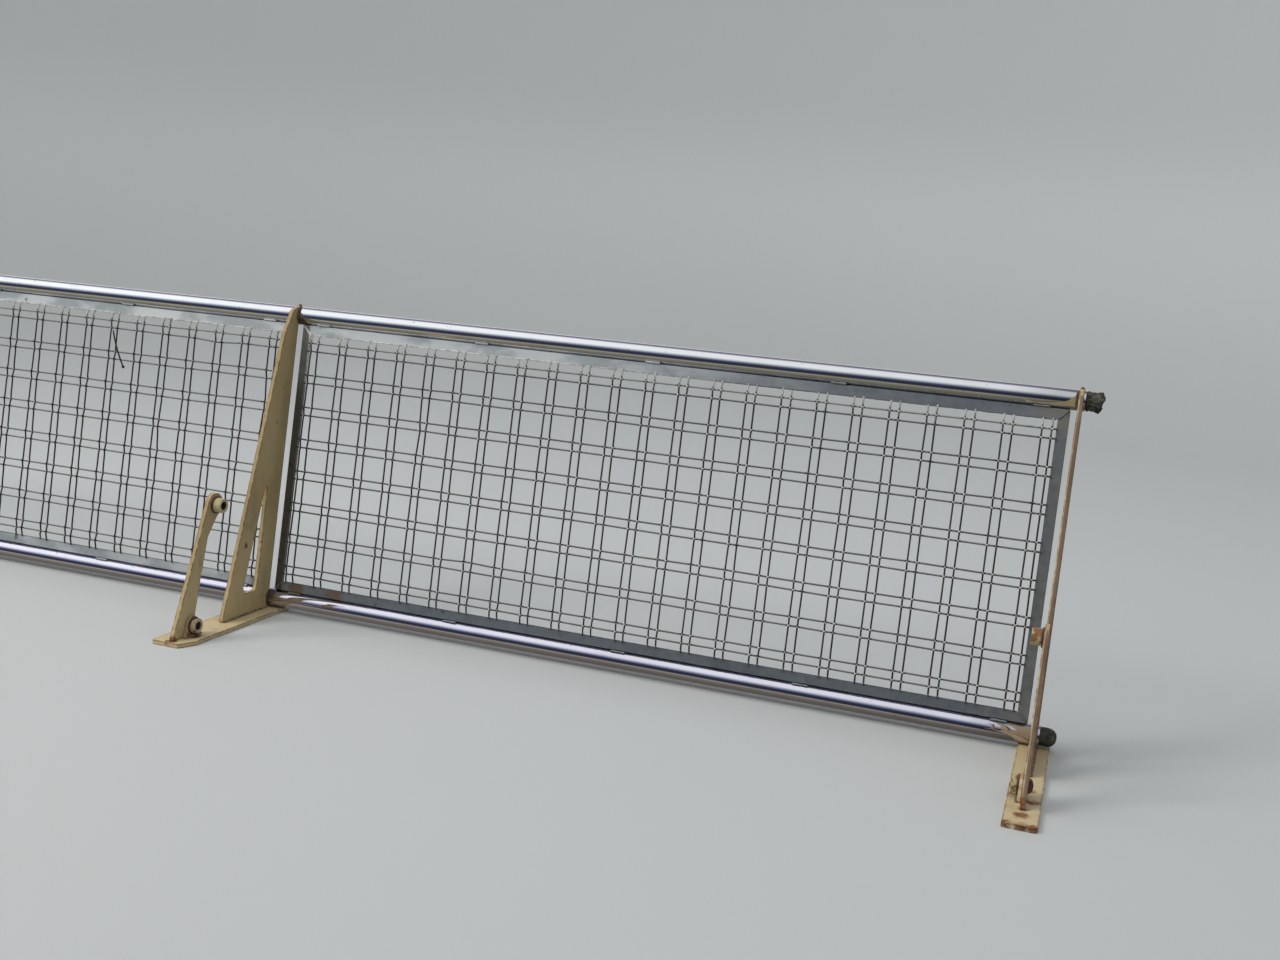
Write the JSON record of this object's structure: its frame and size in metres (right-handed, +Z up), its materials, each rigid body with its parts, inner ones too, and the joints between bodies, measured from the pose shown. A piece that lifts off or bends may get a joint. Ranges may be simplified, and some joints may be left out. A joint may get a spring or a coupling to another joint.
{
  "type": "front grille guard",
  "caption": "Wide leaning guard of framed double-wire mesh between chrome tubes, on slotted painted brackets with flat feet and pivoting stays.",
  "frame": {"origin": "on the floor plane of the three feet, under the middle of the guard's outline", "axes": "+X along the tubes, +Y forward away from the vehicle, +Z up; the tubes and mesh lean 7 degrees forward"},
  "size_m": [1.9226, 0.2884, 0.3822],
  "materials": {
    "chrome": "bright chrome plate",
    "galvanised_steel": "dull galvanised",
    "mesh_wire": "tarnished drawn wire",
    "cream_paint": "chipped cream paint with rust",
    "rusty_steel": "rusted",
    "weathered_rubber": "perished matt"
  },
  "bodies": {
    "guard": {"top_tube": "chrome", "bottom_tube": "chrome", "top_left_plug": "weathered_rubber", "bottom_left_cap": "weathered_rubber", "top_right_plug": "weathered_rubber", "bottom_right_cap": "weathered_rubber", "left_panel_top_rail": "galvanised_steel", "left_panel_bottom_rail": "galvanised_steel", "left_panel_left_stile": "galvanised_steel", "left_panel_right_stile": "galvanised_steel", "left_panel_upright_wires": "mesh_wire", "left_panel_cross_wires": "mesh_wire", "right_panel_top_rail": "galvanised_steel", "right_panel_bottom_rail": "galvanised_steel", "right_panel_left_stile": "galvanised_steel", "right_panel_right_stile": "galvanised_steel", "right_panel_upright_wires": "mesh_wire", "right_panel_cross_wires": "mesh_wire", "left_gusset": "cream_paint", "left_foot": "cream_paint", "left_lug": "cream_paint", "left_pivot_bolt": "rusty_steel", "left_pivot_washer": "rusty_steel", "left_pivot_nut": "rusty_steel", "middle_gusset": "cream_paint", "middle_foot": "cream_paint", "middle_lug": "cream_paint", "middle_pivot_bolt": "rusty_steel", "middle_pivot_washer": "rusty_steel", "middle_pivot_nut": "rusty_steel", "right_gusset": "cream_paint", "right_foot": "cream_paint", "right_lug": "cream_paint", "right_pivot_bolt": "rusty_steel", "right_pivot_washer": "rusty_steel", "right_pivot_nut": "rusty_steel"},
    "left_stay_arm": {"left_stay": "cream_paint", "left_boss_ring": "rusty_steel", "left_threaded_boss": "cream_paint"},
    "middle_stay_arm": {"middle_stay": "cream_paint", "middle_boss_ring": "rusty_steel", "middle_threaded_boss": "cream_paint"},
    "right_stay_arm": {"right_stay": "cream_paint", "right_boss_ring": "rusty_steel", "right_threaded_boss": "cream_paint"}
  },
  "joints": [
    {"name": "left_stay_pivot", "type": "hinge", "parent": "guard", "child": "left_stay_arm", "pos_m": [-0.94, -0.07419, 0.018], "axis": [-1, 0, 0], "range_deg": [0, 18]},
    {"name": "middle_stay_pivot", "type": "hinge", "parent": "guard", "child": "middle_stay_arm", "pos_m": [0, -0.07419, 0.018], "axis": [-1, 0, 0], "range_deg": [0, 18]},
    {"name": "right_stay_pivot", "type": "hinge", "parent": "guard", "child": "right_stay_arm", "pos_m": [0.94, -0.07419, 0.018], "axis": [-1, 0, 0], "range_deg": [0, 18]}
  ]
}
